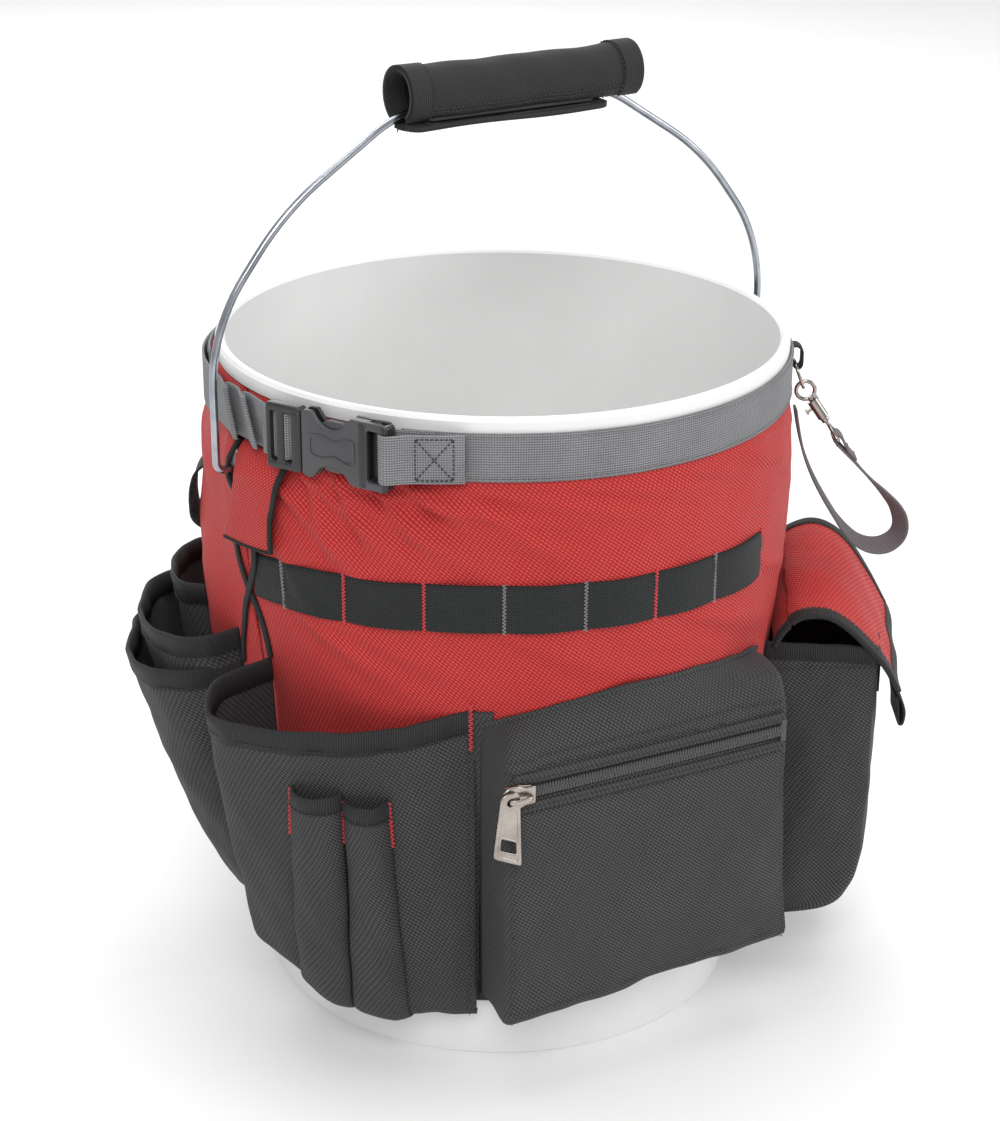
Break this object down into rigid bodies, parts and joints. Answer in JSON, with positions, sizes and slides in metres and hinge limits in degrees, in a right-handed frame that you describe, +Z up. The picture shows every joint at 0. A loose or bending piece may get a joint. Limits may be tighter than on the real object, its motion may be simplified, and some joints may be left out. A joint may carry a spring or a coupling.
{
  "type": "tool bucket organizer",
  "caption": "Pail with a bail handle and padded grip, wearing a buckled fabric skirt with open, zipped and flap pockets, load webbing and a lanyard with a bolt snap.",
  "frame": {"origin": "centre of the underside of the pail, on the plane that it stands on", "axes": "+Z up, X through the two bail ears, -Y towards the front with the zipped pocket"},
  "size_m": [0.4071, 0.3491, 0.5115],
  "materials": {
    "pail_plastic": "smooth moulded polyethylene",
    "zinc_wire": "bright zinc plated drawn wire",
    "black_fabric": "coarse charcoal ballistic weave",
    "red_fabric": "coarse red ballistic weave with diagonal ribs",
    "black_webbing": "ribbed black polyester webbing",
    "grey_webbing": "ribbed mid grey polyester webbing",
    "hook_and_loop": "hook and loop tape",
    "buckle_plastic": "fine textured dark grey acetal",
    "red_thread": "bonded thread bar tacks",
    "grey_thread": "bonded thread bar tacks",
    "zip_tape": "woven zip tape",
    "zip_coil": "nylon coil",
    "nickel": "nickel plated die casting"
  },
  "bodies": {
    "organizer": {"band": "grey_webbing", "band_loop": "grey_webbing", "bar_tacks_grey": "grey_thread", "bar_tacks_red": "red_thread", "bucket_shell": "pail_plastic", "buckle_female": "buckle_plastic", "ear_tab_left": "red_fabric", "ear_tab_right": "red_fabric", "flap_hinge_strip": "red_fabric", "flap_pocket": "black_fabric", "front_left_pocket": "black_fabric", "hammer_loop": "black_webbing", "lanyard_strap": "grey_webbing", "load_webbing": "black_webbing", "pocket_loop_patch": "hook_and_loop", "pocket_tacks": "red_thread", "rear_pocket_middle": "black_fabric", "rear_pocket_right": "black_fabric", "ring_keeper": "black_webbing", "side_pocket_low": "black_fabric", "side_pocket_middle": "black_fabric", "side_pocket_tall": "black_fabric", "skirt_back": "red_fabric", "skirt_front": "red_fabric", "skirt_hem": "black_webbing", "slit_binding_left": "black_webbing", "slit_binding_right": "black_webbing", "snap_swivel_eye": "nickel", "tool_pocket_left": "black_fabric", "tool_pocket_right": "black_fabric", "zip_pocket": "black_fabric", "zip_tape_lower": "zip_tape", "zip_tape_upper": "zip_tape", "zip_teeth": "zip_coil"},
    "bail": {"bail_wire": "zinc_wire", "grip_sleeve": "black_fabric", "grip_tape_left": "black_webbing", "grip_tape_right": "black_webbing", "grip_hook_strip": "hook_and_loop"},
    "grip_closure": {"grip_flap": "black_webbing", "grip_loop_strip": "hook_and_loop"},
    "buckle_plug": {"buckle_male": "buckle_plastic", "pleated_strap": "grey_webbing"},
    "upper_prong": {"buckle_prong_upper": "buckle_plastic"},
    "lower_prong": {"buckle_prong_lower": "buckle_plastic"},
    "zip_car": {"zip_slider": "nickel"},
    "zip_tag": {"zip_pull": "nickel"},
    "pocket_lid": {"pocket_flap": "red_fabric", "flap_binding": "black_webbing", "flap_tab": "black_webbing", "flap_hook_patch": "hook_and_loop"},
    "ring": {"lanyard_ring": "nickel"},
    "snap": {"snap_body": "nickel", "snap_spring": "nickel"},
    "bolt": {"snap_bolt": "nickel"}
  },
  "joints": [
    {"name": "bail_swing", "type": "hinge", "parent": "organizer", "child": "bail", "pos_m": [0, 0, 0.318], "axis": [1, 0, 0], "range_deg": [-90, 90]},
    {"name": "grip_flap_open", "type": "hinge", "parent": "bail", "child": "grip_closure", "pos_m": [0, 0.0046, 0.4817], "axis": [1, 0, 0], "range_deg": [0, 22]},
    {"name": "buckle_release", "type": "slide", "parent": "organizer", "child": "buckle_plug", "axis": [-0.4439, 0.8961, 0], "range_m": [0, 0.029], "deforming": ["pleated_strap"]},
    {"name": "upper_prong_press", "type": "slide", "parent": "buckle_plug", "child": "upper_prong", "axis": [0, 0, -1], "range_m": [0, 0.0025], "stiffness_N_per_m": 400},
    {"name": "lower_prong_press", "type": "slide", "parent": "buckle_plug", "child": "lower_prong", "axis": [0, 0, 1], "range_m": [0, 0.0025], "stiffness_N_per_m": 400},
    {"name": "zip_slide", "type": "slide", "parent": "organizer", "child": "zip_car", "axis": [0.9969, -0.0785, 0], "range_m": [0, 0.142]},
    {"name": "zip_pull_swing", "type": "hinge", "parent": "zip_car", "child": "zip_tag", "pos_m": [-0.09477, -0.15906, 0.182], "axis": [0.0785, 0.9969, 0], "range_deg": [-40, 60]},
    {"name": "pocket_flap_open", "type": "hinge", "parent": "organizer", "child": "pocket_lid", "pos_m": [0.13666, -0.08606, 0.2304], "axis": [-0.5329, -0.8462, 0], "range_deg": [0, 75], "deforming": ["lanyard_strap"]},
    {"name": "ring_swing", "type": "hinge", "parent": "organizer", "child": "ring", "pos_m": [0.13133, -0.0827, 0.3488], "axis": [-0.5329, -0.8462, 0], "range_deg": [-4, 6]},
    {"name": "snap_swivel", "type": "hinge", "parent": "organizer", "child": "snap", "pos_m": [0.14978, -0.09432, 0.3105], "axis": [-0.4824, 0.3038, 0.8216], "range_deg": [-20, 20]},
    {"name": "snap_bolt_slide", "type": "slide", "parent": "snap", "child": "bolt", "axis": [0.4824, -0.3038, -0.8216], "range_m": [0, 0.003], "stiffness_N_per_m": 250, "deforming": ["snap_spring"]}
  ]
}
